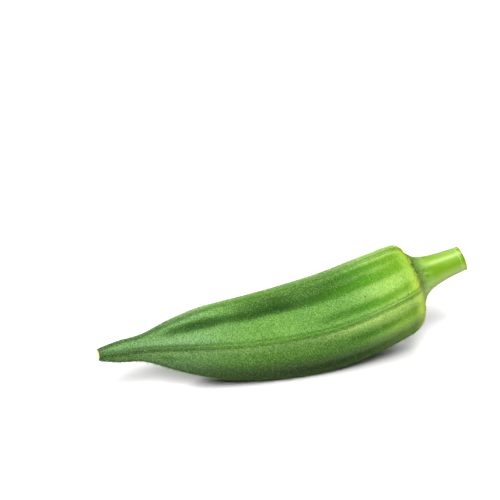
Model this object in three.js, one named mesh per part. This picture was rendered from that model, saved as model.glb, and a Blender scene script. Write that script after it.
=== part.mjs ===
// An okra pod, picked with a short stub of its stem, lying on its belly.
//
// The pod is one grown piece: a five-ridged fruit that narrows to a blunt tip,
// the fleshy cap at its other end, and the stem that was cut through.
// Millimetres, +Z up. The tip points to -X and the stem to +X.
// The origin is on the surface it lies on, under the middle of the pod.

import * as THREE from 'three';

// Driving dimensions

const LENGTH = 88;            // tip to cut stem, measured along X
const FULLEST = 11.3;         // centre line to a ridge where the pod is fullest
const SHOULDER_AT = 75;       // where the fruit ends and the cap begins
const SHOULDER_ROUND = 4;     // length over which the shoulder turns in
const TIP_RADIUS = 1.7;
const CAP_RADIUS = 7.3;       // cap where it leaves the fruit
const STEM_RADIUS = 2.9;      // stem at the cut

const RIDGES = 5;
const RIDGE_WAVE = 0.022;     // share of the radius by which the ridges stand out
const FACE_WAVE = 0.014;      // share of the radius by which each face swells
const CORD_HEIGHT = 0.25;     // thin cord that runs along each ridge
const RIDGE_FADE = 2.5;       // length over which the ridges die out at the cap

const FLAT_BELLY = 0.45;      // depth by which the belly is flat where the pod lies on it

// Fineness of the surface

const POINTS_PER_FACE = 16;   // around the pod, from one ridge to the next
const TIP_RINGS = 3;
const FRUIT_RINGS = 38;
const SHOULDER_RINGS = 5;
const CAP_RINGS = 12;

// Height of the centre line above the surface at points along X.
// The tip droops a little, the belly lies low and the stem end sweeps up.
const CENTRE_LINE = [
  [0, 11.8],
  [11, 11.75],
  [22, 11],
  [33, 10.1],
  [44, 10],
  [55, 11],
  [66, 13.75],
  [73.5, 16.3],
  [77, 18],
  [LENGTH, 21],
];

// How far a cross-section leans back at points along X, as a slope.
const SECTION_TILT = [
  [0, 0],
  [22, -0.06],
  [44, 0.04],
  [55, 0.13],
  [66, 0.2],
  [75, 0.25],
  [81, 0.29],
  [LENGTH, 0.3],
];

// Distance from the centre line to a ridge, from the tip to the shoulder.
const FRUIT_OUTLINE = [
  [1.2, TIP_RADIUS],
  [4.5, 2.4],
  [10.5, 3.2],
  [17.5, 5.9],
  [25, 8.2],
  [34, 9.7],
  [44, 10.7],
  [55, FULLEST],
  [65, 11.2],
  [SHOULDER_AT - SHOULDER_ROUND, 10.8],
];

// Distance from the centre line to the side of the cap and the stem.
const CAP_OUTLINE = [
  [SHOULDER_AT + 0.4, CAP_RADIUS],
  [SHOULDER_AT + 2.6, 4.8],
  [SHOULDER_AT + 6.5, 3.5],
  [LENGTH, STEM_RADIUS],
];

// Shallow grooves along the faces: degrees round from the top ridge, depth,
// half width, where along X it begins and where it is full.
const GROOVES = [
  [-172, 0.18, 1.1, 50, 66],
  [-158, 0.14, 1.3, 40, 60],
  [-126, 0.16, 1.5, 30, 52],
  [-96, 0.2, 1.4, 44, 64],
  [-60, 0.26, 1.2, 40, 62],
  [-29, 0.5, 1.5, 4, 24],
  [-14, 0.16, 1.4, 26, 38],
  [-11, 0.16, 0.8, 48, 66],
  [13, 0.16, 0.8, 50, 68],
  [38, 0.42, 1.5, 16, 40],
  [60, 0.3, 1.2, 46, 66],
  [88, 0.34, 1.2, 44, 64],
  [112, 0.42, 1.5, 14, 38],
  [133, 0.24, 1.1, 48, 66],
  [176, 0.3, 1.4, 30, 56],
];

// Reads the height of a smooth line through the points, at x.
function readLine(points, x) {
  const last = points.length - 1;
  const slopeAt = (i) => {
    const [x0, y0] = points[Math.max(i - 1, 0)];
    const [x1, y1] = points[Math.min(i + 1, last)];
    return (y1 - y0) / (x1 - x0);
  };
  const next = points.findIndex(([px]) => px > x);
  const i = next < 0 ? last - 1 : Math.max(next - 1, 0);
  const [x0, y0] = points[i];
  const [x1, y1] = points[i + 1];
  const start = new THREE.Vector2(x0, y0);
  const end = new THREE.Vector2(x1, y1);
  const third = (x1 - x0) / 3;
  const piece = new THREE.CubicBezierCurve(
    start,
    new THREE.Vector2(x0 + third, y0 + third * slopeAt(i)),
    new THREE.Vector2(x1 - third, y1 - third * slopeAt(i + 1)),
    end,
  );
  return piece.getPoint((x - x0) / (x1 - x0)).y;
}

// Evenly spaced points on the smooth line through an outline's points.
function sampleOutline(points, count) {
  const first = points[0][0];
  const reach = points.at(-1)[0] - first;
  return Array.from({ length: count + 1 }, (_, i) => {
    const x = first + (reach * i) / count;
    return new THREE.Vector2(x, readLine(points, x));
  });
}

// One side of the pod as (x, radius) points, from the tip to the cut.
function podOutline() {
  const fruitStart = new THREE.Vector2(...FRUIT_OUTLINE[0]);
  const fruitEnd = new THREE.Vector2(...FRUIT_OUTLINE.at(-1));
  const tip = new THREE.QuadraticBezierCurve(
    new THREE.Vector2(0, TIP_RADIUS * 0.55),
    new THREE.Vector2(0, TIP_RADIUS * 0.85),
    fruitStart,
  );
  const shoulder = new THREE.QuadraticBezierCurve(
    fruitEnd,
    new THREE.Vector2(SHOULDER_AT, fruitEnd.y - 0.4),
    new THREE.Vector2(SHOULDER_AT + 0.2, CAP_RADIUS + 0.7),
  );
  return [
    ...tip.getPoints(TIP_RINGS).slice(0, -1),
    ...sampleOutline(FRUIT_OUTLINE, FRUIT_RINGS).slice(0, -1),
    ...shoulder.getPoints(SHOULDER_RINGS),
    ...sampleOutline(CAP_OUTLINE, CAP_RINGS),
  ];
}

// How deep the grooves are at (x, angle), on a section of this radius.
function grooveDepth(x, angle, ridgeRadius) {
  const depths = GROOVES.map(([degrees, depth, halfWidth, begins, full]) => {
    const turn = Math.acos(Math.cos(angle - THREE.MathUtils.degToRad(degrees)));
    const away = (turn * ridgeRadius) / halfWidth;
    return depth * Math.exp(-away * away) * THREE.MathUtils.smoothstep(x, begins, full);
  });
  return depths.reduce((sum, depth) => sum + depth, 0);
}

// Radius of the cross-section at (x, angle). Towards the cap the ridges, the
// swell of the faces and the grooves die out, and the section is round.
function sectionRadius(x, angle, ridgeRadius) {
  const fadeFrom = SHOULDER_AT - RIDGE_FADE;
  const strength = 1 - THREE.MathUtils.smoothstep(x, fadeFrom, SHOULDER_AT + 0.3);
  const turn = RIDGES * angle;
  const waves = RIDGE_WAVE * Math.cos(turn) + FACE_WAVE * Math.cos(2 * turn);
  const share = (1 + strength * waves) / (1 + strength * (RIDGE_WAVE + FACE_WAVE));
  const cord = Math.cos(turn) > 0.999 ? CORD_HEIGHT : 0;
  const relief = cord - grooveDepth(x, angle, ridgeRadius);
  return ridgeRadius * share + strength * relief * Math.min(1, ridgeRadius / FULLEST);
}

// The cross-section at (x, ridge radius), leaning back by its tilt.
function sectionRing({ x, y: ridgeRadius }) {
  const up = new THREE.Vector3(-readLine(SECTION_TILT, x), 0, 1).normalize();
  const side = new THREE.Vector3(0, 1, 0);
  const count = RIDGES * POINTS_PER_FACE;
  return Array.from({ length: count }, (_, i) => {
    const angle = (2 * Math.PI * i) / count;
    const radius = sectionRadius(x, angle, ridgeRadius);
    return new THREE.Vector3(x - LENGTH / 2, 0, readLine(CENTRE_LINE, x))
      .addScaledVector(up, radius * Math.cos(angle))
      .addScaledVector(side, radius * Math.sin(angle));
  });
}

// Closes one end with a fan of triangles around its middle.
function closeEnd(points, triangles, first, count, facesBack) {
  const middle = new THREE.Vector3();
  for (let i = 0; i < count; i++) {
    middle.addScaledVector(points[first + i], 1 / count);
  }
  const hub = points.push(middle) - 1;
  for (let i = 0; i < count; i++) {
    const a = first + i;
    const b = first + ((i + 1) % count);
    triangles.push(hub, facesBack ? a : b, facesBack ? b : a);
  }
}

// Joins the rings with triangles into one closed skin.
function skinOver(rings) {
  const count = rings[0].length;
  const points = rings.flat();
  const triangles = [];
  for (let ring = 0; ring < rings.length - 1; ring++) {
    for (let i = 0; i < count; i++) {
      const a = ring * count + i;
      const b = ring * count + ((i + 1) % count);
      triangles.push(a, a + count, b);
      triangles.push(b, a + count, b + count);
    }
  }
  closeEnd(points, triangles, 0, count, true);
  closeEnd(points, triangles, (rings.length - 1) * count, count, false);
  const geometry = new THREE.BufferGeometry().setFromPoints(points);
  geometry.setIndex(triangles);
  return geometry;
}

// Centres the pod over the origin, drops it onto z = 0 and makes its belly flat there.
function layDown(geometry) {
  geometry.computeBoundingBox();
  const { min, max } = geometry.boundingBox;
  geometry.translate(-(min.x + max.x) / 2, 0, -min.z - FLAT_BELLY);
  const position = geometry.attributes.position;
  for (let i = 0; i < position.count; i++) {
    position.setZ(i, Math.max(0, position.getZ(i)));
  }
  geometry.computeVertexNormals();
}

const podGeometry = skinOver(podOutline().map(sectionRing));
layDown(podGeometry);

const podMaterial = new THREE.MeshStandardMaterial({
  color: 0x5f9c3a,
  roughness: 0.6,
  metalness: 0,
});

const pod = new THREE.Mesh(podGeometry, podMaterial);
pod.name = 'okra_pod';

const okra = new THREE.Group();
okra.add(pod);

export default okra;
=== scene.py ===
# %% [markdown]
# # An okra pod, grown from a rule
#
# An okra pod is a five-ridged fruit. It narrows to a blunt tip at one end, and at the other it stops
# at a pale shoulder, where a fleshy cap narrows into the stem. Short stiff hairs cover all of it, and
# they are why its skin looks like velvet and not like plastic.
#
# The pod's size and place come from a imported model, which is loaded first and never moved. The skin is
# then grown again, much finer than that model has it, and the hairs and marks follow the skin.

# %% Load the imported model
import math

import bpy
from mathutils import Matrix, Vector


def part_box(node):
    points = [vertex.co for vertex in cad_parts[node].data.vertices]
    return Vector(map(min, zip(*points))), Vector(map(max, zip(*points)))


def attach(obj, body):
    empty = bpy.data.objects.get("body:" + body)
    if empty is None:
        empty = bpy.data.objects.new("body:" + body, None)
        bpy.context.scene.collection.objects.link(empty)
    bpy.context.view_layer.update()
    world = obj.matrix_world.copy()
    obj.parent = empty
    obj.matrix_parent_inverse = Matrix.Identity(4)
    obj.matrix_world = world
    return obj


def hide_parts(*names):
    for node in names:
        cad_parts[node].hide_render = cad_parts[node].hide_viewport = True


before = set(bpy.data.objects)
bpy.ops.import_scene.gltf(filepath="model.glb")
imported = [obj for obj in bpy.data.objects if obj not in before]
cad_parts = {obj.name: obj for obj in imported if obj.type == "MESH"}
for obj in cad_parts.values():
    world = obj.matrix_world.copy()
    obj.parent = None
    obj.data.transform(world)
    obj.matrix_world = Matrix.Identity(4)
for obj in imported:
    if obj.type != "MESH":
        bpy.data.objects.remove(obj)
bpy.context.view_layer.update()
POD_LOW, POD_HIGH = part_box("okra_pod")
print("the packed pod measures", [round(1000 * side, 1) for side in POD_HIGH - POD_LOW], "mm")

# %% [markdown]
# ## Camera and light
#
# The pod lies on a white table and is seen from its side, a little from above, with its stem end
# turned slightly away. A long lens at arm's length keeps its shape true. The camera looks at a point
# above and behind the pod, which leaves the pod low in the picture.

# %% The camera
TURNED_AWAY = math.radians(20.6)
LOOKING_DOWN = math.radians(28.5)
CAMERA_DISTANCE = 0.6
LENS_MM = 189

scene = bpy.context.scene
camera_data = bpy.data.cameras.new("camera")
camera_data.lens = LENS_MM
camera_data.clip_start = 0.01
camera = bpy.data.objects.new("camera", camera_data)
scene.collection.objects.link(camera)
scene.camera = camera

towards_camera = Vector((
    -math.sin(TURNED_AWAY) * math.cos(LOOKING_DOWN),
    -math.cos(TURNED_AWAY) * math.cos(LOOKING_DOWN),
    math.sin(LOOKING_DOWN),
))
camera_right = Vector((math.cos(TURNED_AWAY), -math.sin(TURNED_AWAY), 0))
camera_up = towards_camera.cross(camera_right)
pod_heart = Vector((0, 0, 0.31 * POD_HIGH.z))
LOOKS_LEFT = 0.0080     # metres by which the camera looks past the pod's heart
LOOKS_ABOVE = 0.0197
looked_at = pod_heart - LOOKS_LEFT * camera_right + LOOKS_ABOVE * camera_up
camera.location = pod_heart + CAMERA_DISTANCE * towards_camera
camera.rotation_euler = (camera.location - looked_at).to_track_quat("Z", "Y").to_euler()
print("camera at", [round(value, 3) for value in camera.location])

# %% [markdown]
# The main light stands in front and high, so the crests of the skin are bright, its grooves are dark
# and the shadow falls behind the pod. A second one behind draws the upper edge and the top of the
# stem. The white table throws light back up at the belly.

# %% The lights and the table
def aimed(azimuth, elevation, distance):
    """A place seen from the pod: azimuth 0 is in front of it, 90 at its stem end."""
    turn, rise = math.radians(azimuth), math.radians(elevation)
    return (
        distance * math.sin(turn) * math.cos(rise),
        -distance * math.cos(turn) * math.cos(rise),
        distance * math.sin(rise),
    )


def add_softbox(name, position, size, watts):
    """A square soft light that faces the pod."""
    data = bpy.data.lights.new(name, "AREA")
    data.size = size
    data.energy = watts
    lamp = bpy.data.objects.new(name, data)
    lamp.location = position
    lamp.rotation_euler = Vector(position).to_track_quat("Z", "Y").to_euler()
    scene.collection.objects.link(lamp)


add_softbox("front_light", aimed(-25, 50, 2.0), 1.2, 125.0)
add_softbox("back_light", aimed(190, 38, 2.0), 1.0, 55.0)

sky = bpy.data.worlds.new("studio")
sky.use_nodes = True
sky.node_tree.nodes["Background"].inputs["Color"].default_value = (1, 1, 1, 1)
sky.node_tree.nodes["Background"].inputs["Strength"].default_value = 0.2
scene.world = sky
scene.view_settings.view_transform = "Standard"
scene.view_settings.gamma = 0.8

TABLE_HALF = 1.5
table_mesh = bpy.data.meshes.new("table")
table_mesh.from_pydata(
    [(x * TABLE_HALF, y * TABLE_HALF, 0) for x, y in ((-1, -1), (1, -1), (1, 1), (-1, 1))],
    [],
    [(0, 1, 2, 3)],
)
table = bpy.data.objects.new("table", table_mesh)
scene.collection.objects.link(table)

# %% [markdown]
# ## Helpers for node trees
#
# Geometry Nodes and shader nodes are drawn as boxes joined by wires. Here they are built from Python.
# `add_node` places one box and feeds its sockets. `Wire` lets a wire stand in a sum, so that
# `wire * 2 + other` adds the two Math nodes that work it out.

# %% Placing nodes
def open_socket(sockets, name):
    """The socket of that name that is in use: a node keeps hidden ones for its other modes."""
    return next(socket for socket in sockets if socket.name == name and socket.enabled)


def feed(tree, socket, value):
    """Feeds a socket from a wire or with a plain value. One number fills all of a vector."""
    if isinstance(value, Wire):
        tree.links.new(value.socket, socket)
    elif socket.type == "VECTOR" and isinstance(value, (int, float)):
        socket.default_value = (value, value, value)
    else:
        socket.default_value = value


def add_node(tree, kind, sockets=None, output=None, **settings):
    """Adds a node. Returns its first open output, or the one named, as a Wire."""
    node = tree.nodes.new(kind)
    for name, value in settings.items():
        setattr(node, name, value)
    for name, value in (sockets or {}).items():
        feed(tree, open_socket(node.inputs, name), value)
    outputs = [socket for socket in node.outputs if socket.enabled]
    chosen = open_socket(node.outputs, output) if output else outputs[0]
    return Wire(tree, chosen)


class Wire:
    """A node's output that can be added, multiplied and so on."""

    def __init__(self, tree, socket):
        self.tree = tree
        self.socket = socket

    @property
    def node(self):
        return self.socket.node

    def is_vector(self):
        return self.socket.type == "VECTOR"

    def maths(self, operation, *values):
        values = [self, *values]
        vectors = [isinstance(value, Wire) and value.is_vector() for value in values]
        kind = "ShaderNodeVectorMath" if any(vectors) else "ShaderNodeMath"
        node = self.tree.nodes.new(kind)
        if operation == "MULTIPLY" and any(vectors) and not all(vectors):
            node.operation = "SCALE"
            feed(self.tree, node.inputs["Vector"], values[vectors.index(True)])
            feed(self.tree, node.inputs["Scale"], values[vectors.index(False)])
        else:
            node.operation = operation
            for socket, value in zip(node.inputs, values):
                feed(self.tree, socket, value)
        return Wire(self.tree, next(socket for socket in node.outputs if socket.enabled))

    def __add__(self, other):
        return self.maths("ADD", other)

    def __sub__(self, other):
        return self.maths("SUBTRACT", other)

    def __mul__(self, other):
        return self.maths("MULTIPLY", other)

    def __truediv__(self, other):
        return self.maths("DIVIDE", other)

    __radd__ = __add__
    __rmul__ = __mul__

    def __rsub__(self, other):
        return (self * -1.0) + other


def ramp(wire, start, end):
    """0 before start, 1 after end, and a smooth rise between them. It falls where end is below start."""
    low, high = min(start, end), max(start, end)
    rise = add_node(wire.tree, "ShaderNodeMapRange", {
        "Value": wire, "From Min": low, "From Max": high,
    }, interpolation_type="SMOOTHSTEP")
    return rise if end > start else 1.0 - rise


def bell(wire, width):
    """1 where the wire is 0, falling to a third at that width on either side."""
    scaled = wire / width
    return (scaled * scaled * -1.0).maths("EXPONENT")


# %% [markdown]
# ## How the pod grows
#
# A boat builder draws a hull with three kinds of line, and they suit a pod as well: a centre line
# seen from the side, an outline that gives the thickness along it, and a cross-section. A sculpted
# mesh could look the same, but with lines each number means something: to make a fatter or a more
# bowed pod, one number is changed.

# %% The pod's own measures, in millimetres as it grew
GROWN_LENGTH = 88.83    # from end to end, with the lean of the cut
MM = (POD_HIGH.x - POD_LOW.x) / GROWN_LENGTH    # one of those millimetres, in metres
LENGTH = 88
FULLEST = 11.3
SHOULDER_AT = 75
SHOULDER_ROUND = 4
TIP_RADIUS = 1.7
CAP_RADIUS = 7.3
STEM_RADIUS = 2.9
FLAT_BELLY = 0.45

CENTRE_LINE = [
    (0, 11.8), (11, 11.75), (22, 11), (33, 10.1), (44, 10),
    (55, 11), (66, 13.75), (73.5, 16.3), (77, 18), (LENGTH, 21),
]
SECTION_TILT = [    # how far a cross-section leans back, as a slope
    (0, 0), (22, -0.06), (44, 0.04), (55, 0.13), (66, 0.2), (75, 0.25), (81, 0.29), (LENGTH, 0.3),
]
FRUIT_OUTLINE = [
    (1.2, TIP_RADIUS), (4.5, 2.4), (10.5, 3.2), (17.5, 5.9), (25, 8.2),
    (34, 9.7), (44, 10.7), (55, FULLEST), (65, 11.2), (SHOULDER_AT - SHOULDER_ROUND, 10.8),
]
CAP_OUTLINE = [
    (SHOULDER_AT + 0.4, CAP_RADIUS), (SHOULDER_AT + 2.6, 4.8),
    (SHOULDER_AT + 6.5, 3.5), (LENGTH - 0.15, STEM_RADIUS),
]

# How dark a groove is painted follows its depth: partly its own tone, partly painted shade.
DARKEST_GROOVE = 0.36    # a groove this deep is as dark as any

# Degrees from the top ridge, depth, half width, where it begins and where it is full. The short
# grooves at the tip are written the other way about: full at the tip, and gone further on.
GROOVES = [
    (-11, 0.16, 0.8, 48, 66), (-29, 0.50, 1.5, 4, 24), (-60, 0.26, 1.2, 40, 62),
    (-96, 0.20, 1.4, 44, 64), (-126, 0.16, 1.5, 30, 52), (-158, 0.14, 1.3, 40, 60),
    (-14, 0.16, 1.4, 26, 38),
    (13, 0.16, 0.8, 50, 68), (38, 0.42, 1.5, 16, 40), (60, 0.30, 1.2, 46, 66),
    (88, 0.34, 1.2, 44, 64), (112, 0.42, 1.5, 14, 38), (133, 0.24, 1.1, 48, 66),
    (176, 0.30, 1.4, 30, 56), (-172, 0.18, 1.1, 50, 66),
    (16, 0.30, 0.8, 28, 14), (-100, 0.15, 0.9, 28, 14),
    (90, 0.35, 0.9, 28, 14), (160, 0.35, 0.9, 28, 14),
]


def read_line(points, x):
    """The value and the slope of a smooth line through the points, at x."""
    def slope_at(i):
        (x0, y0), (x1, y1) = points[max(i - 1, 0)], points[min(i + 1, len(points) - 1)]
        return (y1 - y0) / (x1 - x0)

    i = max(k for k in range(len(points) - 1) if points[k][0] <= x or k == 0)
    (x0, y0), (x1, y1) = points[i], points[i + 1]
    step = x1 - x0
    t = (x - x0) / step
    start, end = step * slope_at(i), step * slope_at(i + 1)
    a = 2 * y0 - 2 * y1 + start + end
    b = 3 * y1 - 3 * y0 - 2 * start - end
    return a * t**3 + b * t**2 + start * t + y0, (3 * a * t**2 + 2 * b * t + start) / step


def rounded(start, corner, end, count):
    """Points on a curve from start to end that is drawn towards the corner."""
    for i in range(count + 1):
        t = i / count
        yield tuple(
            (1 - t) ** 2 * s + 2 * t * (1 - t) * c + t * t * e
            for s, c, e in zip(start, corner, end)
        )


print("the centre line is", round(read_line(CENTRE_LINE, 50)[0], 2), "mm up at 50 mm from the tip")

# %% [markdown]
# The outline is read from tip to cut, and each stretch keeps the zone that it belongs to: the scar at
# the tip, the fruit, the ragged seam where the flower's cup fell off, the cap with the stem, and the
# cut. The zones choose the materials later. Stations lie closer together where the outline turns fast.

# %% The stations along the pod
SCAR, FRUIT, SEAM, CAP, CUT = range(5)


def even(points, step):
    """Points on the smooth line through an outline, about one step apart."""
    first, last = points[0][0], points[-1][0]
    count = round((last - first) / step)
    for i in range(count + 1):
        x = first + (last - first) * i / count
        yield x, read_line(points, x)[0]


def stations():
    """(zone, x, radius) from the middle of the tip's scar to the middle of the cut."""
    fruit_end = FRUIT_OUTLINE[-1]
    shoulder_edge = (SHOULDER_AT + 0.2, CAP_RADIUS + 0.7)
    stretches = [
        (SCAR, [(0.3, 0), (0.28, 0.3), (0.2, 0.6), (0.04, 0.85), (0, 1.05)]),
        (FRUIT, rounded((0.04, 1.15), (0.1, 1.5), FRUIT_OUTLINE[0], 8)),
        (FRUIT, even(FRUIT_OUTLINE, 0.34)),
        (FRUIT, rounded(fruit_end, (SHOULDER_AT, fruit_end[1] - 0.4), shoulder_edge, 18)),
        (SEAM, rounded(shoulder_edge, (SHOULDER_AT - 0.1, 7.8), (SHOULDER_AT + 0.15, 7.6), 5)),
        (SEAM, rounded((SHOULDER_AT + 0.2, 7.55), (SHOULDER_AT + 0.5, 7.7), CAP_OUTLINE[0], 4)),
        (CAP, even(CAP_OUTLINE, 0.22)),
        (CUT, rounded((LENGTH - 0.1, 2.88), (LENGTH, 2.85), (LENGTH, 2.7), 3)),
        (CUT, [(LENGTH - 0.06, 2.45), (LENGTH - 0.12, 2.1), (LENGTH - 0.1, 1.7), (LENGTH - 0.16, 1.2)]),
        (CUT, [(LENGTH - 0.1, 0.8), (LENGTH - 0.04, 0.4), (LENGTH - 0.02, 0)]),
    ]
    last = None
    for zone, points in stretches:
        for point in points:
            if last is None or math.dist(point, last) > 0.02:
                yield zone, *point
            last = point


STATIONS = list(stations())
print(len(STATIONS), "stations along the pod")

# %% [markdown]
# Each station becomes one point of a small mesh, and what the cross-section needs there is stored on
# the point: its radius, which way is up, how strongly the ridges show, how rough the skin is, how far
# along the pod it lies, and the zone.

# %% The guide mesh
def smooth_step(value, start, end):
    share = min(1, max(0, (value - start) / (end - start)))
    return share * share * (3 - 2 * share)


def ridge_strength(x):
    return 1 - smooth_step(x, SHOULDER_AT - 2.5, SHOULDER_AT + 0.3)


def roughness_at(zone, x):
    """How far the skin strays from the smooth form, in millimetres."""
    if zone == SEAM:
        return 0.35
    if zone == CAP:
        frayed = 0.1 * smooth_step(x, LENGTH - 1.2, LENGTH - 0.3)
        return 0.16 - 0.1 * smooth_step(x, SHOULDER_AT + 1, SHOULDER_AT + 7) + frayed
    return {SCAR: 0.12, FRUIT: 0.06, CUT: 0.12}[zone]


def make_guide():
    mesh = bpy.data.meshes.new("guide")
    heights = [read_line(CENTRE_LINE, x) for _, x, _ in STATIONS]
    ups = [Vector((-read_line(SECTION_TILT, x)[0], 0, 1)).normalized() for _, x, _ in STATIONS]
    mesh.from_pydata(
        [((x - LENGTH / 2) * MM, 0, height * MM) for (_, x, _), (height, _) in zip(STATIONS, heights)],
        [],
        [],
    )
    values = {
        "radius": [radius * MM for _, _, radius in STATIONS],
        "strength": [ridge_strength(x) for _, x, _ in STATIONS],
        "uneven": [roughness_at(zone, x) * MM for zone, x, _ in STATIONS],
        "along": [x for _, x, _ in STATIONS],
        "zone": [float(zone) for zone, _, _ in STATIONS],
    }
    for name, column in values.items():
        mesh.attributes.new(name, "FLOAT", "POINT").data.foreach_set("value", column)
    flat = [number for up in ups for number in up]
    mesh.attributes.new("up", "FLOAT_VECTOR", "POINT").data.foreach_set("vector", flat)
    guide = bpy.data.objects.new("okra_skin", mesh)
    scene.collection.objects.link(guide)
    return guide


skin = make_guide()
print("the guide holds", [attribute.name for attribute in skin.data.attributes][-6:])

# %% [markdown]
# ## Growing the skin with Geometry Nodes
#
# The tree lays out a flat grid, one row to a station, and moves each of its points to where the rule
# puts it: round the centre line by its angle, and out by the radius of the cross-section there. Five
# waves round the section make the ridges, ten make the faces swell between them, and a narrow bell
# raises the cord on each ridge. Points crowd towards the ridges, where the section turns fastest. The
# grid's two long edges meet and are merged, so the skin is closed.

# %% Sockets of a tree
def new_tree(name, kind, inputs, outputs):
    """A node tree with named sockets. Returns it, its inputs as Wires, and its output node."""
    tree = bpy.data.node_groups.new(name, kind)
    for label, (socket_type, default) in inputs.items():
        socket = tree.interface.new_socket(label, in_out="INPUT", socket_type=socket_type)
        if default is not None:
            socket.default_value = default
    for label, socket_type in outputs.items():
        tree.interface.new_socket(label, in_out="OUTPUT", socket_type=socket_type)
    entry = tree.nodes.new("NodeGroupInput")
    exit_node = tree.nodes.new("NodeGroupOutput")
    wires = {label: Wire(tree, entry.outputs[label]) for label in inputs}
    return tree, wires, exit_node


def new_growth_tree(name, inputs):
    sockets = {"Geometry": ("NodeSocketGeometry", None), **inputs}
    return new_tree(name, "GeometryNodeTree", sockets, {"Geometry": "NodeSocketGeometry"})


def stored(tree, name, data_type="FLOAT"):
    """Reads an attribute of the geometry at hand."""
    return add_node(tree, "GeometryNodeInputNamedAttribute", {"Name": name}, data_type=data_type)


def store(tree, geometry, name, value):
    return add_node(tree, "GeometryNodeStoreNamedAttribute", {
        "Geometry": geometry, "Name": name, "Value": value,
    }, data_type="FLOAT", domain="POINT")


# %% The tree that grows the skin
FLOAT, INT = "NodeSocketFloat", "NodeSocketInt"
skin_tree, given, skin_exit = new_growth_tree("Grow pod skin", {
    "Points Around": (INT, 240),
    "Ridges": (INT, 5),
    "Ridge Wave": (FLOAT, 0.022),
    "Face Wave": (FLOAT, 0.014),
    "Cord Height": (FLOAT, 0.2 * MM),
    "Cord Width": (FLOAT, 0.14 * MM),
    "Crowding": (FLOAT, 0.6),
    "Wander": (FLOAT, 0.16),
    "Wander Length": (FLOAT, 12.0 * MM),
    "Lump Size": (FLOAT, 3.0 * MM),
})

# The grid, and which station and which angle each of its points stands for.
station_count = add_node(skin_tree, "GeometryNodeAttributeDomainSize", {
    "Geometry": given["Geometry"],
}, output="Point Count", component="MESH")
columns = given["Points Around"] + 1.0
grid = add_node(skin_tree, "GeometryNodeMeshGrid", {
    "Size X": 1.0, "Size Y": 1.0, "Vertices X": station_count, "Vertices Y": columns,
})
index = add_node(skin_tree, "GeometryNodeInputIndex")
station = ((index + 0.5) / columns).maths("FLOOR")
even_angle = (index - station * columns) / given["Points Around"] * math.tau
crowd = (even_angle * given["Ridges"]).maths("SINE") * given["Crowding"] / given["Ridges"]
angle = even_angle - crowd


def at_station(value, data_type="FLOAT"):
    """What the guide says at each grid point's own station."""
    return add_node(skin_tree, "GeometryNodeSampleIndex", {
        "Geometry": given["Geometry"], "Value": value, "Index": station,
    }, data_type=data_type, domain="POINT")


place = add_node(skin_tree, "GeometryNodeInputPosition")
centre = at_station(place, "FLOAT_VECTOR")
up = at_station(stored(skin_tree, "up", "FLOAT_VECTOR"), "FLOAT_VECTOR")
side = add_node(skin_tree, "ShaderNodeCombineXYZ", {"Y": 1.0})
ridge_radius = at_station(stored(skin_tree, "radius"))
strength = at_station(stored(skin_tree, "strength"))

# The cross-section: five waves for the ridges, ten for the faces, and the cords.
turn = angle * given["Ridges"]
waves = turn.maths("COSINE") * given["Ridge Wave"] + (turn * 2.0).maths("COSINE") * given["Face Wave"]
tallest = given["Ridge Wave"] + given["Face Wave"]
share = (waves * strength + 1.0) / (tallest * strength + 1.0)
from_ridge = turn.maths("COSINE").maths("ARCCOSINE") / given["Ridges"] * ridge_radius
slimness = (ridge_radius / (FULLEST * MM)).maths("MINIMUM", 1.0)
ridge = bell(from_ridge, given["Cord Width"]) * strength

groove_depth, groove = 0.0, 0.0
along = at_station(stored(skin_tree, "along"))
outward = up * angle.maths("COSINE") + side * angle.maths("SINE")
round_place = centre + outward * ridge_radius
wander = add_node(skin_tree, "ShaderNodeTexNoise", {
    "Vector": round_place / given["Wander Length"], "Scale": 1.0, "Detail": 2.0,
}) - 0.5
fullness = add_node(skin_tree, "ShaderNodeTexNoise", {
    "Vector": round_place / given["Wander Length"] + 7.3, "Scale": 1.6, "Detail": 2.0,
})
for degrees, depth, half_width, begins, full in GROOVES:
    away = (angle - math.radians(degrees) + wander * given["Wander"]).maths("COSINE")
    dent = bell(away.maths("ARCCOSINE") * ridge_radius, half_width * MM)
    dent = dent * ramp(along, begins, full) * (0.7 + ramp(fullness, 0.3, 0.7) * 0.3)
    groove = groove + dent * min(1.0, depth / DARKEST_GROOVE)
    groove_depth = groove_depth + dent * (depth * MM)
radius = ridge_radius * share + (ridge * given["Cord Height"] - groove_depth * strength) * slimness

# Slow lumps keep the skin from looking turned on a lathe.
smooth_place = centre + outward * radius
lumps = add_node(skin_tree, "ShaderNodeTexNoise", {
    "Vector": smooth_place / given["Lump Size"], "Scale": 1.0, "Detail": 3.0, "Roughness": 0.6,
}) - 0.5
rim_share = (ridge_radius / (1.5 * MM)).maths("MINIMUM", 1.0)
bumpy = radius + lumps * 2.0 * at_station(stored(skin_tree, "uneven")) * rim_share
print("the skin tree has", len(skin_tree.nodes), "nodes so far")

# %% [markdown]
# The tree also writes down what the materials need to know about each point: how close it is to a
# ridge, how far up it faces, how deep in a groove, how far along the pod and how far out from its
# centre line it lies, and its zone. One more value marks a painted sheen strip along one side of each
# ridge.

# %% The end of the tree
grown = add_node(skin_tree, "GeometryNodeSetPosition", {
    "Geometry": grid, "Position": centre + outward * bumpy,
})
grown = store(skin_tree, grown, "ridge", ridge)
grown = store(skin_tree, grown, "beside_ridge", from_ridge / MM)
grown = store(skin_tree, grown, "upness", angle.maths("COSINE"))
# Painted sheen: a pale strip along one side of each ridge.
painted_sheen_strip = bell(from_ridge / MM - 1.4, 1.1) * ramp(turn.maths("SINE"), 0.05, -0.05)
grown = store(skin_tree, grown, "painted_sheen_strip", painted_sheen_strip)
grown = store(skin_tree, grown, "groove", groove.maths("MINIMUM", 1.0))
grown = store(skin_tree, grown, "out", ridge_radius / MM)
grown = store(skin_tree, grown, "along", along)
grown = store(skin_tree, grown, "zone", at_station(stored(skin_tree, "zone")))
grown = add_node(skin_tree, "GeometryNodeMergeByDistance", {"Geometry": grown, "Distance": 0.004 * MM})


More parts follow.
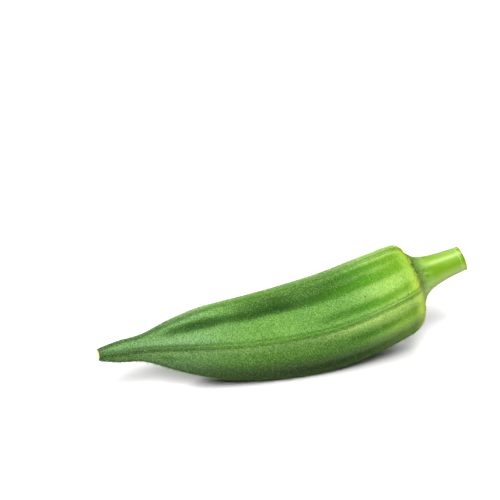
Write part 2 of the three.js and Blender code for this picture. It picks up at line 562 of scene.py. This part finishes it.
def paint_zones(tree, geometry, materials):
    """Gives each face the material of its zone. Later entries cover earlier ones."""
    zone = stored(tree, "zone")
    for first_zone, material in materials:
        picked = add_node(tree, "FunctionNodeCompare", {"A": zone, "B": first_zone - 0.5},
                          operation="GREATER_THAN")
        geometry = add_node(tree, "GeometryNodeSetMaterial", {
            "Geometry": geometry, "Selection": picked, "Material": material,
        })
    return geometry


# %% Grow helpers
def grow(piece, tree, values):
    """Runs a tree on a piece with these values for its inputs, and keeps the result as a plain mesh."""
    modifier = piece.modifiers.new("grow", "NODES")
    modifier.node_group = tree
    sockets = {item.name: item.identifier for item in tree.interface.items_tree if item.in_out == "INPUT"}
    for name, value in values.items():
        modifier[sockets[name]] = value
    bpy.context.view_layer.update()
    evaluated = piece.evaluated_get(bpy.context.evaluated_depsgraph_get())
    mesh = bpy.data.meshes.new_from_object(evaluated)
    piece.modifiers.clear()
    piece.data = mesh
    return piece


# %% [markdown]
# ## Finishes
#
# Three effects are shared by the green parts, so each is a shader node group. One is the grain of
# the short hairs: pale points on a darker skin, with a bump that makes them catch the light. The
# next is the way that living green drifts between a deep and a pale tone, in patches and in streaks
# that run along the pod. The last is a scatter of specks: a few brown flecks on the fruit, where an
# insect or a leaf marked it, and many dark dots on the cap.

# %% Shared shader groups
COLOUR = "NodeSocketColor"


def object_place(tree, size):
    """Object coordinates counted in millimetres of the pod, divided by a size."""
    place = add_node(tree, "ShaderNodeTexCoord", output="Object")
    return place * (1.0 / MM) / size


def drawn_out(tree):
    """A scale that stretches a pattern to twelve times its width along the pod."""
    return add_node(tree, "ShaderNodeCombineXYZ", {"X": 1 / 12, "Y": 1.0, "Z": 1.0})


def mix_colours(tree, factor, first, second):
    """The first colour where the factor is 0, the second where it is 1."""
    node = tree.nodes.new("ShaderNodeMix")
    node.data_type = "RGBA"
    feed(tree, open_socket(node.inputs, "Factor"), factor)
    feed(tree, open_socket(node.inputs, "A"), first)
    feed(tree, open_socket(node.inputs, "B"), second)
    return Wire(tree, open_socket(node.outputs, "Result"))


def make_grain_group():
    tree, given, exit_node = new_tree("Hair grain", "ShaderNodeTree", {
        "Size": (FLOAT, 0.4), "Bump": (FLOAT, 0.4),
    }, {"Points": FLOAT, "Mottle": FLOAT, "Normal": "NodeSocketVector"})
    place = object_place(tree, given["Size"])
    cells = add_node(tree, "ShaderNodeTexVoronoi", {"Vector": place, "Scale": 1.0}, output="Distance")
    mottle = add_node(tree, "ShaderNodeTexNoise", {
        "Vector": place, "Scale": 0.9, "Detail": 2.0, "Roughness": 0.7,
    })
    points = ramp(cells, 0.5, 0.1) * ramp(mottle, 0.3, 0.6)
    height = points * 0.7 + mottle * 0.6
    bump = add_node(tree, "ShaderNodeBump", {
        "Strength": given["Bump"], "Distance": 0.2 * MM, "Height": height,
    })
    feed(tree, exit_node.inputs["Points"], points)
    feed(tree, exit_node.inputs["Mottle"], mottle)
    feed(tree, exit_node.inputs["Normal"], bump)
    return tree


def make_green_group():
    tree, given, exit_node = new_tree("Living green", "ShaderNodeTree", {
        "Deep": (COLOUR, (0, 0, 0, 1)), "Pale": (COLOUR, (1, 1, 1, 1)),
        "Patch": (FLOAT, 6.0), "Streak": (FLOAT, 1.2),
    }, {"Colour": COLOUR})
    patches = add_node(tree, "ShaderNodeTexNoise", {
        "Vector": object_place(tree, given["Patch"]), "Scale": 1.0, "Detail": 3.0,
    })
    lengthwise = object_place(tree, given["Streak"]).maths("MULTIPLY", drawn_out(tree))
    streaks = add_node(tree, "ShaderNodeTexNoise", {"Vector": lengthwise, "Scale": 1.0, "Detail": 2.0})
    blend = ramp(patches * 0.55 + streaks * 0.45, 0.32, 0.68)
    feed(tree, exit_node.inputs["Colour"], mix_colours(tree, blend, given["Deep"], given["Pale"]))
    return tree


def make_speck_group():
    tree, given, exit_node = new_tree("Sparse specks", "ShaderNodeTree", {
        "Spacing": (FLOAT, 2.0), "Share": (FLOAT, 0.1), "Reach": (FLOAT, 0.12),
    }, {"Mask": FLOAT})
    place = object_place(tree, given["Spacing"])
    nearest = add_node(tree, "ShaderNodeTexVoronoi", {"Vector": place, "Scale": 1.0}, output="Distance")
    lot = add_node(tree, "ShaderNodeSeparateColor", {
        "Color": Wire(tree, open_socket(nearest.node.outputs, "Color")),
    }, output="Red")
    chosen = lot.maths("LESS_THAN", given["Share"])
    edge = 1.0 - (nearest / given["Reach"]).maths("MINIMUM", 1.0)
    feed(tree, exit_node.inputs["Mask"], chosen * (edge * 2.0).maths("MINIMUM", 1.0))
    return tree


HAIR_GRAIN = make_grain_group()
LIVING_GREEN = make_green_group()
SPARSE_SPECKS = make_speck_group()
print("shared groups:", HAIR_GRAIN.name, LIVING_GREEN.name, SPARSE_SPECKS.name)


# %% Starting a material
def srgb(red, green, blue):
    """A colour as seen on a screen, 0 to 255, made linear for the shader."""
    def linear(value):
        value /= 255
        return value / 12.92 if value <= 0.04045 else ((value + 0.055) / 1.055) ** 2.4
    return linear(red), linear(green), linear(blue), 1.0


def new_material(name, **sockets):
    """A material with a Principled shader, with plain values on the shader's own sockets."""
    material = bpy.data.materials.new(name)
    material.use_nodes = True
    tree = material.node_tree
    shader = tree.nodes["Principled BSDF"]
    for label, value in sockets.items():
        shader.inputs[label.replace("_", " ")].default_value = value
    return material, tree, shader


def place_group(tree, group, **sockets):
    """Places a shared group in a material. Its outputs are read by name."""
    node = tree.nodes.new("ShaderNodeGroup")
    node.node_tree = group
    for label, value in sockets.items():
        feed(tree, node.inputs[label], value)
    return {output.name: Wire(tree, output) for output in node.outputs}


def skin_value(tree, name):
    """Reads what the growing tree wrote down about each point."""
    return add_node(tree, "ShaderNodeAttribute", output="Fac", attribute_name=name)


# %% [markdown]
# The fruit's skin is deep green in the middle and turns lime towards the shoulder, where the flower's
# cup kept the sun off. The cord on each ridge is a thin lime line, with slightly darker skin beside
# it. Pale points stand in for the hairs that are too fine to model, and they are greyer at the tip. The
# green is laid on in layers, each a colour and a mask: grooves (partly painted shade), crests (partly
# painted sheen), a painted sheen strip, painted shade under the top ridge and on the belly, rim, cords,
# flecks.

# %% The fruit's skin
DEEP_GREEN = srgb(18, 50, 0)
BELLY_SHADE_GREEN = srgb(10, 24, 3)
LEAF_GREEN = srgb(42, 80, 10)
CREST_GREEN = srgb(66, 102, 38)
PALE_GREEN = srgb(108, 148, 72)
STRIP_SHEEN_GREEN = srgb(104, 130, 78)
BLOOM_GREEN = srgb(142, 172, 90)
TIP_HAIR_GREEN = srgb(142, 166, 124)
TIP_PAINTED_SHEEN = srgb(104, 134, 96)
LIME = srgb(110, 137, 24)
GROOVE_LIME = srgb(64, 116, 2)
SHOULDER_PALE = srgb(154, 176, 106)
RIM_LIME = srgb(154, 170, 80)
CORD_LIME = srgb(66, 116, 8)
FLECK_BROWN = srgb(92, 54, 14)
SEAM_TAN = srgb(150, 142, 78)
SEAM_BROWN = srgb(80, 48, 16)


def painted_belly_shade(tree):
    """Painted shade: 1 on the lowest skin, near the table, falling to 0 at 13 mm up."""
    place = add_node(tree, "ShaderNodeTexCoord", output="Object")
    height = add_node(tree, "ShaderNodeSeparateXYZ", {"Vector": place}, output="Z")
    return ramp(height / MM, 13.0, 0.5)


def make_fruit_material():
    material, tree, shader = new_material(
        "okra_fruit_skin", Roughness=0.5, Specular_IOR_Level=0.18,
        Subsurface_Weight=0.06, Subsurface_Radius=(0.6, 1.0, 0.25), Subsurface_Scale=0.0008,
    )
    green = place_group(tree, LIVING_GREEN, Deep=LEAF_GREEN, Pale=CREST_GREEN, Patch=7.0, Streak=1.4)
    grain = place_group(tree, HAIR_GRAIN, Size=0.3, Bump=0.9)
    along = skin_value(tree, "along")
    upness = skin_value(tree, "upness")
    ridge = skin_value(tree, "ridge")
    beside = skin_value(tree, "beside_ridge")
    groove = skin_value(tree, "groove")
    crest = ramp(groove, 0.6, 0.0)
    # The grooves' deeper green is partly the skin's own tone and partly painted shade.
    groove_green = mix_colours(tree, ramp(along, 42.0, 64.0), DEEP_GREEN, GROOVE_LIME)
    colour = mix_colours(tree, groove * 0.9, green["Colour"], groove_green)
    # Paler on the crests: partly pale hairs, partly painted sheen.
    colour = mix_colours(tree, crest * 0.5, colour, PALE_GREEN)
    # Painted sheen: the crests turn paler and greyer towards the tip.
    colour = mix_colours(tree, crest * ramp(along, 34.0, 16.0) * 0.6, colour, TIP_PAINTED_SHEEN)
    # Near the shoulder the crests turn paler still: partly lime skin, partly painted sheen.
    shoulder = ramp(along, 56.0, 70.0) * (0.52 - ramp(along, 71.0, 74.0) * 0.35)
    colour = mix_colours(tree, crest * shoulder, colour, SHOULDER_PALE)
    # Painted shade: a darker band on the skin that faces up, beside the top ridge's cord.
    painted_shade_under_ridge = ramp(upness, 0.84, 0.94) * (1.0 - bell(beside, 0.5))
    painted_shade_under_ridge = painted_shade_under_ridge * ramp(along, 26.0, 36.0) * ramp(along, 66.0, 52.0)
    colour = mix_colours(tree, painted_shade_under_ridge * 0.4, colour, DEEP_GREEN)
    colour = mix_colours(tree, ramp(along, 60.0, 74.0) * 0.5, colour, LIME)
    # Painted sheen along one side of each ridge, on the crests away from the very top of the pod.
    strip = skin_value(tree, "painted_sheen_strip") * crest * ramp(upness, 0.95, 0.6)
    strip_green = mix_colours(tree, ramp(along, 45.0, 65.0), STRIP_SHEEN_GREEN, SHOULDER_PALE)
    colour = mix_colours(tree, strip * (0.8 - ramp(along, 56.0, 70.0) * 0.4), colour, strip_green)
    gaps = ramp(grain["Mottle"], 0.62, 0.36)
    colour = mix_colours(tree, gaps * (0.6 - ramp(along, 50.0, 70.0) * 0.3), colour, DEEP_GREEN)
    colour = mix_colours(tree, ramp(along, 12.0, 1.0) * 0.2, colour, DEEP_GREEN)
    colour = mix_colours(tree, bell(beside, 0.9) * ramp(along, 30.0, 18.0) * 0.7, colour, DEEP_GREEN)
    # Painted shade: the lowest skin, near the table, darkens to a deep green, and its pale points dim.
    belly = painted_belly_shade(tree)
    colour = mix_colours(tree, belly * 0.85, colour, DEEP_GREEN)
    colour = mix_colours(tree, belly * belly * 0.6, colour, BELLY_SHADE_GREEN)
    bloom = mix_colours(tree, ramp(along, 40.0, 18.0), BLOOM_GREEN, TIP_HAIR_GREEN)
    points = grain["Points"] * (0.85 - groove * 0.75) * (1.0 - belly * 0.5)
    colour = mix_colours(tree, points, colour, bloom)
    rim = ramp(along, 71.8, 74.4) * (0.3 + ramp(upness, 0.8, 0.2) * 0.45)
    colour = mix_colours(tree, rim, colour, RIM_LIME)
    colour = mix_colours(tree, bell(beside - 0.55, 0.3) * 0.35, colour, DEEP_GREEN)
    colour = mix_colours(tree, ridge * ramp(along, 8.0, 26.0) * 0.85, colour, CORD_LIME)
    flecks = place_group(tree, SPARSE_SPECKS, Spacing=3.2, Share=0.34, Reach=0.11)
    colour = mix_colours(tree, flecks["Mask"] * 0.8, colour, FLECK_BROWN)
    torn_edge = ramp(skin_value(tree, "out") + grain["Mottle"], 9.5, 8.6) * ramp(along, 74.2, 74.8)
    colour = mix_colours(tree, torn_edge * 0.7, colour, SEAM_TAN)
    feed(tree, shader.inputs["Base Color"], colour)
    feed(tree, shader.inputs["Roughness"], 0.38 + grain["Mottle"] * 0.15 + groove * 0.3)
    feed(tree, shader.inputs["Normal"], grain["Normal"])
    return material


FRUIT_SKIN = make_fruit_material()
print("made", FRUIT_SKIN.name)

# %% [markdown]
# The cap is a greyer green, with a coarse grain, painted shade where it meets the ragged seam and painted
# light on its lower side. Within a few millimetres it smooths out into the stem, which is a clear shiny
# lime with a painted highlight along its top and painted light along its lower edge.

# %% The cap and the stem
CAP_GREEN = srgb(70, 100, 32)
CAP_PALE = srgb(118, 144, 74)
CAP_PAINTED_BOUNCE = srgb(158, 180, 108)
STEM_GREEN = srgb(88, 118, 8)
STEM_PALE = srgb(160, 174, 120)


def make_cap_material():
    material, tree, shader = new_material(
        "okra_cap_and_stem", Roughness=0.45, Specular_IOR_Level=0.3,
        Subsurface_Weight=0.1, Subsurface_Radius=(0.7, 1.0, 0.25), Subsurface_Scale=0.0012,
    )
    along = skin_value(tree, "along")
    upness = skin_value(tree, "upness")
    stem = ramp(along, SHOULDER_AT + 1.5, SHOULDER_AT + 6.0)
    green = place_group(tree, LIVING_GREEN, Deep=CAP_GREEN, Pale=CAP_PALE, Patch=2.0, Streak=0.9)
    grain = place_group(tree, HAIR_GRAIN, Size=0.4, Bump=0.6 - stem * 0.5)
    colour = mix_colours(tree, grain["Points"] * 0.5, green["Colour"], BLOOM_GREEN)
    # Painted light: the cap's downward side is lightened, as if lit from the white table below.
    colour = mix_colours(tree, ramp(upness, 0.5, -0.3) * 0.8, colour, CAP_PAINTED_BOUNCE)
    # Painted shade: the cap is darker where it meets the seam.
    painted_seam_shade = ramp(along, SHOULDER_AT + 2.5, SHOULDER_AT + 0.5)
    colour = mix_colours(tree, painted_seam_shade * 0.25, colour, DEEP_GREEN)
    gaps = ramp(grain["Mottle"], 0.6, 0.36)
    colour = mix_colours(tree, gaps * (1.0 - stem) * 0.5, colour, CAP_GREEN)
    dots = place_group(tree, SPARSE_SPECKS, Spacing=0.42, Share=0.5, Reach=0.42)
    colour = mix_colours(tree, dots["Mask"] * (1.0 - stem) * 0.5, colour, DEEP_GREEN)
    colour = mix_colours(tree, stem * 0.9, colour, STEM_GREEN)
    # Painted light on the stem: a highlight along its top and a paler lower edge.
    painted_stem_light = bell(upness - 0.85, 0.1) * 0.5 + ramp(upness, 0.3, -0.5) * 0.5
    colour = mix_colours(tree, painted_stem_light * stem, colour, STEM_PALE)
    nick = bell(along - (LENGTH - 1.1) + (grain["Mottle"] - 0.5) * 1.2, 0.12)
    colour = mix_colours(tree, nick * 0.35, colour, STEM_PALE)
    dried_edge = ramp(along, LENGTH - 0.6, LENGTH - 0.15)
    colour = mix_colours(tree, dried_edge * ramp(grain["Mottle"], 0.45, 0.6), colour, SEAM_BROWN)
    seam = ramp(along, SHOULDER_AT + 0.6, SHOULDER_AT + 0.2)
    brown_bits = ramp(grain["Mottle"], 0.5, 0.62)
    seam_colour = mix_colours(tree, brown_bits, SEAM_TAN, SEAM_BROWN)
    colour = mix_colours(tree, seam, colour, seam_colour)
    feed(tree, shader.inputs["Base Color"], colour)
    feed(tree, shader.inputs["Roughness"], 0.6 - stem * 0.2)
    feed(tree, shader.inputs["Normal"], grain["Normal"])
    return material


CAP_SKIN = make_cap_material()

# %% [markdown]
# The knife left the stem's end open: a green skin, a ring of pale fibres and a cream pith that has
# started to dry. The scar at the tip, where the flower stood, is cream and dry as well.

# %% The cut and the tip's scar
PITH_CREAM = srgb(212, 210, 168)
FIBRE_CREAM = srgb(176, 180, 112)
WOOD_OLIVE = srgb(88, 84, 30)
DRY_TAN = srgb(136, 112, 62)


def make_cut_material():
    material, tree, shader = new_material("okra_cut_stem", Roughness=0.65, Specular_IOR_Level=0.25)
    fibres = add_node(tree, "ShaderNodeTexVoronoi", {
        "Vector": object_place(tree, 0.3), "Scale": 1.0,
    }, output="Distance")
    ragged = add_node(tree, "ShaderNodeTexNoise", {
        "Vector": object_place(tree, 0.6), "Scale": 1.0, "Detail": 2.0,
    })
    out = skin_value(tree, "out") + (ragged - 0.5) * 0.5
    colour = mix_colours(tree, ramp(out, 0.6, 1.3), PITH_CREAM, FIBRE_CREAM)
    colour = mix_colours(tree, bell(out - 1.25, 0.14) * 0.75, colour, WOOD_OLIVE)
    colour = mix_colours(tree, bell(out - 1.75, 0.2) * 0.6, colour, PITH_CREAM)
    colour = mix_colours(tree, ramp(fibres, 0.35, 0.6) * 0.55, colour, DRY_TAN)
    colour = mix_colours(tree, bell(out - 2.25, 0.13) * 0.85, colour, WOOD_OLIVE)
    colour = mix_colours(tree, ramp(out, 2.35, 2.55), colour, STEM_GREEN)
    rings = (skin_value(tree, "out") * 14.0).maths("SINE") * 0.3
    bump = add_node(tree, "ShaderNodeBump", {
        "Strength": 0.7, "Distance": 0.12 * MM, "Height": fibres + rings,
    })
    feed(tree, shader.inputs["Base Color"], colour)
    feed(tree, shader.inputs["Normal"], bump)
    return material


def make_scar_material():
    material, tree, shader = new_material("okra_tip_scar", Roughness=0.85, Specular_IOR_Level=0.2)
    crumbs = add_node(tree, "ShaderNodeTexNoise", {
        "Vector": object_place(tree, 0.35), "Scale": 1.0, "Detail": 3.0,
    })
    colour = mix_colours(tree, ramp(crumbs, 0.45, 0.7), PITH_CREAM, DRY_TAN)
    bump = add_node(tree, "ShaderNodeBump", {"Strength": 0.6, "Distance": 0.12 * MM, "Height": crumbs})
    feed(tree, shader.inputs["Base Color"], colour)
    feed(tree, shader.inputs["Normal"], bump)
    return material


CUT_STEM = make_cut_material()
TIP_SCAR = make_scar_material()

# %% Finish the skin's tree and grow the skin
ZONE_MATERIALS = [(SCAR, TIP_SCAR), (FRUIT, FRUIT_SKIN), (SEAM, CAP_SKIN), (CUT, CUT_STEM)]
grown = paint_zones(skin_tree, grown, ZONE_MATERIALS)
feed(skin_tree, skin_exit.inputs["Geometry"], grown)
grow(skin, skin_tree, {"Points Around": 240, "Ridges": 5, "Crowding": 0.6})
print("grown skin:", len(skin.data.vertices), "points")


# %% [markdown]
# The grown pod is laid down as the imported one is: centred in its length, dropped onto the table, and
# flat for a few millimetres under its belly, where it carries its own weight.

# %% Lay it down
def lay_down(mesh):
    xs = [vertex.co.x for vertex in mesh.vertices]
    lowest = min(vertex.co.z for vertex in mesh.vertices)
    shift = (POD_LOW.x + POD_HIGH.x) / 2 - (min(xs) + max(xs)) / 2
    for vertex in mesh.vertices:
        vertex.co.x += shift
        vertex.co.z = max(POD_LOW.z, vertex.co.z - lowest - FLAT_BELLY * MM)
    mesh.shade_smooth()


lay_down(skin.data)
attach(skin, "root")
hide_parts("okra_pod")

# %% [markdown]
# ## Hairs
#
# Fine pale hairs stand all over the fruit and stop short of the cap. They blur the pod's outline and
# make its skin sparkle. A particle system would do it too, but a Geometry Nodes tree keeps the rule in
# sight: scatter points on the skin, stand one thin three-sided spike on each, and lean it at random.
# The same tree runs a second time for the stiffer bristles along the ridges.

# %% A tree that scatters small shapes on the skin
def random_value(tree, low, high, seed, data_type="FLOAT"):
    return add_node(tree, "FunctionNodeRandomValue", {
        "Min": low, "Max": high, "Seed": seed,
    }, data_type=data_type)


def scatter(tree, given, share, shape):
    """Stands a shape on random points of the skin, as dense as the share says, and leans it."""
    density = given["Per Square mm"] * share / (MM * MM)
    scattered = add_node(tree, "GeometryNodeDistributePointsOnFaces", {
        "Mesh": given["Geometry"], "Density": density, "Seed": given["Seed"],
    }, output="Points", distribute_method="RANDOM")
    upright = Wire(tree, open_socket(scattered.node.outputs, "Rotation"))
    lean = given["Lean"]
    tilt = random_value(tree, (-1.0, -1.0, -1.0), (1.0, 1.0, 1.0), 3, "FLOAT_VECTOR") * lean
    turned = add_node(tree, "FunctionNodeRotateRotation", {
        "Rotation": upright, "Rotate By": add_node(tree, "FunctionNodeEulerToRotation", {"Euler": tilt}),
    }, rotation_space="LOCAL")
    size = random_value(tree, given["Smallest"], 1.0, 5)
    placed = add_node(tree, "GeometryNodeInstanceOnPoints", {
        "Points": scattered, "Instance": shape, "Rotation": turned, "Scale": size,
    })
    return add_node(tree, "GeometryNodeRealizeInstances", {"Geometry": placed})


def in_zones(tree, first, last):
    """1 on the skin of those zones, 0 elsewhere."""
    zone = stored(tree, "zone")
    above = zone.maths("GREATER_THAN", first - 0.5)
    return above * zone.maths("LESS_THAN", last + 0.5)


# %% Grow the hairs
def make_hair_tree():
    tree, given, exit_node = new_growth_tree("Stand hairs on skin", {
        "Per Square mm": (FLOAT, 6.0), "Only Ridges": (FLOAT, 0.0), "Length": (FLOAT, 0.45 * MM),
        "Thickness": (FLOAT, 0.06 * MM), "Lean": (FLOAT, 0.6), "Smallest": (FLOAT, 0.5), "Seed": (INT, 7),
        "Material": ("NodeSocketMaterial", None),
    })
    spike = add_node(tree, "GeometryNodeMeshCone", {
        "Vertices": 3, "Radius Top": 0.0, "Radius Bottom": given["Thickness"] / 2, "Depth": given["Length"],
    }, fill_type="NGON")
    near_ridge = bell(stored(tree, "beside_ridge"), 0.35)
    near_ridge = 1.0 - given["Only Ridges"] * (1.0 - near_ridge)
    thin_out = ramp(stored(tree, "along"), SHOULDER_AT + 1, SHOULDER_AT - 1)
    height = add_node(tree, "ShaderNodeSeparateXYZ", {
        "Vector": add_node(tree, "GeometryNodeInputPosition"),
    }, output="Z")
    clear_of_table = ramp(height, POD_LOW.z + 0.55 * MM, POD_LOW.z + 1.0 * MM)
    sparse_in_grooves = 1.0 - stored(tree, "groove") * 0.8
    share = in_zones(tree, FRUIT, FRUIT) * near_ridge * thin_out * clear_of_table * sparse_in_grooves
    hairs = scatter(tree, given, share, spike)
    hairs = add_node(tree, "GeometryNodeSetMaterial", {"Geometry": hairs, "Material": given["Material"]})
    feed(tree, exit_node.inputs["Geometry"], hairs)
    return tree


def make_hair_material(name, deep, pale):
    material, tree, shader = new_material(name, Roughness=0.4, Specular_IOR_Level=0.4)
    tone = add_node(tree, "ShaderNodeTexNoise", {"Vector": object_place(tree, 0.5), "Scale": 1.0})
    colour = mix_colours(tree, ramp(tone, 0.35, 0.65), deep, pale)
    # Painted shade: the hairs low on the pod are darker.
    colour = mix_colours(tree, painted_belly_shade(tree) * 0.6, colour, LEAF_GREEN)
    feed(tree, shader.inputs["Base Color"], colour)
    return material


def new_cover(name):
    """A new piece that starts as a copy of the skin, for a tree to scatter shapes on."""
    piece = bpy.data.objects.new(name, skin.data.copy())
    scene.collection.objects.link(piece)
    return piece


def hand_over(piece):
    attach(piece, "root")
    print(piece.name, len(piece.data.polygons), "faces")


HAIR = make_hair_material("okra_hair", srgb(90, 126, 54), srgb(160, 178, 112))
BRISTLE = make_hair_material("okra_bristle", srgb(76, 116, 40), srgb(126, 140, 84))
hair_tree = make_hair_tree()
fuzz = grow(new_cover("okra_fuzz"), hair_tree, {"Per Square mm": 7.0, "Material": HAIR})
bristles = grow(new_cover("ridge_bristles"), hair_tree, {
    "Per Square mm": 26.0, "Only Ridges": 1.0, "Length": 0.7 * MM, "Seed": 11, "Material": BRISTLE,
})
hand_over(fuzz)
hand_over(bristles)

# %% [markdown]
# The flower's cup tears off along the seam between the fruit and the cap, and leaves a ring of dry
# crumbs. The knife frayed the edge of the stem in the same way, only finer. Both are small flattened
# balls, scattered by the same rule as the hairs.

# %% The crumbs along the seam and the cut
def make_crumb_tree():
    tree, given, exit_node = new_growth_tree("Crumbs along seam", {
        "Per Square mm": (FLOAT, 4.0), "At Seam": (FLOAT, 1.0), "At Cut": (FLOAT, 0.0),
        "Size": (FLOAT, 0.3 * MM), "Lean": (FLOAT, 3.1),
        "Smallest": (FLOAT, 0.35), "Seed": (INT, 5),
    })
    ball = add_node(tree, "GeometryNodeMeshIcoSphere", {"Radius": 1.0, "Subdivisions": 1})
    crumb = add_node(tree, "GeometryNodeTransform", {
        "Geometry": ball,
        "Scale": add_node(tree, "ShaderNodeCombineXYZ", {
            "X": given["Size"], "Y": given["Size"] * 0.7, "Z": given["Size"] * 0.5,
        }),
    })
    at_cut = in_zones(tree, CAP, CUT) * ramp(stored(tree, "along"), LENGTH - 0.45, LENGTH - 0.15)
    rim_only = at_cut * stored(tree, "out").maths("GREATER_THAN", 2.5)
    torn_edge = ramp(stored(tree, "along"), SHOULDER_AT - 0.15, SHOULDER_AT + 0.1)
    at_seam = in_zones(tree, FRUIT, SEAM) * torn_edge
    share = at_seam * given["At Seam"] + rim_only * given["At Cut"]
    crumbs = scatter(tree, given, share, crumb)
    crumbs = add_node(tree, "GeometryNodeSetMaterial", {"Geometry": crumbs, "Material": DRY_CRUMB})
    feed(tree, exit_node.inputs["Geometry"], crumbs)
    return tree


def make_crumb_material():
    material, tree, shader = new_material("okra_dry_crumb", Roughness=0.8, Specular_IOR_Level=0.2)
    tone = add_node(tree, "ShaderNodeTexNoise", {"Vector": object_place(tree, 0.9), "Scale": 1.0})
    colour = mix_colours(tree, ramp(tone, 0.5, 0.66), SEAM_TAN, SEAM_BROWN)
    feed(tree, shader.inputs["Base Color"], colour)
    return material


DRY_CRUMB = make_crumb_material()
crumb_tree = make_crumb_tree()
seam_crumbs = grow(new_cover("seam_crumbs"), crumb_tree, {"Per Square mm": 4.0})
cut_crumbs = grow(new_cover("cut_crumbs"), crumb_tree, {
    "Per Square mm": 7.0, "At Seam": 0.0, "At Cut": 1.0, "Size": 0.2 * MM, "Seed": 9,
})
hand_over(seam_crumbs)
hand_over(cut_crumbs)

# %% The table's finish
table_material, _, table_shader = new_material("white_table", Roughness=0.6, Specular_IOR_Level=0.2)
TABLE_GREY = (0.48, 0.48, 0.48, 1)    # the lights bring it up to white
table_shader.inputs["Base Color"].default_value = TABLE_GREY
table.data.materials.append(table_material)
